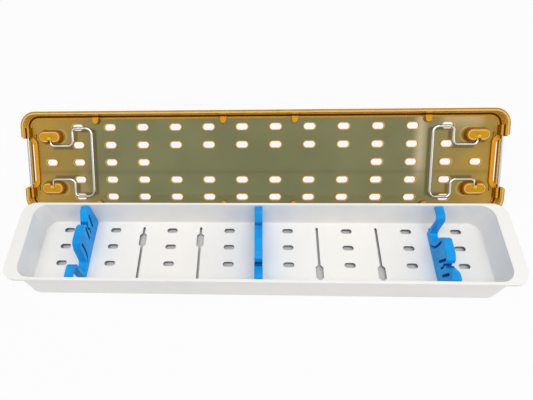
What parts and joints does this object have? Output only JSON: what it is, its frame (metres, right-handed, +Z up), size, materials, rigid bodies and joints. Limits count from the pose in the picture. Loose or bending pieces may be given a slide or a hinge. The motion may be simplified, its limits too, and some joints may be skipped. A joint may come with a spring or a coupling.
{
  "type": "sterilization container",
  "caption": "Shallow perforated instrument tray with silicone telescope holders keyed into its floor, and a transparent lid with folding wire bails leaning behind it.",
  "frame": {"origin": "middle of the tray's flat underside, on the table", "axes": "+X along the tray, +Y from the tray towards the lid behind it, +Z up"},
  "size_m": [0.5026, 0.1798, 0.0807],
  "materials": {
    "tray_white": "smooth gloss",
    "silicone_blue": "satin silicone",
    "lid_amber": "transparent amber, polished",
    "steel": "bright drawn wire"
  },
  "bodies": {
    "tray": {"tray_base": "tray_white", "left_holder": "silicone_blue", "centre_holder": "silicone_blue", "right_holder": "silicone_blue"},
    "lid": {"lid_shell": "lid_amber", "left_grip_rod": "steel", "right_grip_rod": "steel"},
    "left_bail": {"left_bail": "steel"},
    "right_bail": {"right_bail": "steel"}
  },
  "joints": [
    {"name": "lid_lift", "type": "slide", "parent": "tray", "child": "lid", "axis": [0, 0, 1], "range_m": [0, 0.12]},
    {"name": "left_bail_swing", "type": "hinge", "parent": "lid", "child": "left_bail", "pos_m": [-0.2225, 0.09173, 0.041], "axis": [0, -0.7547, -0.6561], "range_deg": [0, 156]},
    {"name": "right_bail_swing", "type": "hinge", "parent": "lid", "child": "right_bail", "pos_m": [0.2225, 0.09173, 0.041], "axis": [0, 0.7547, 0.6561], "range_deg": [0, 156]}
  ]
}
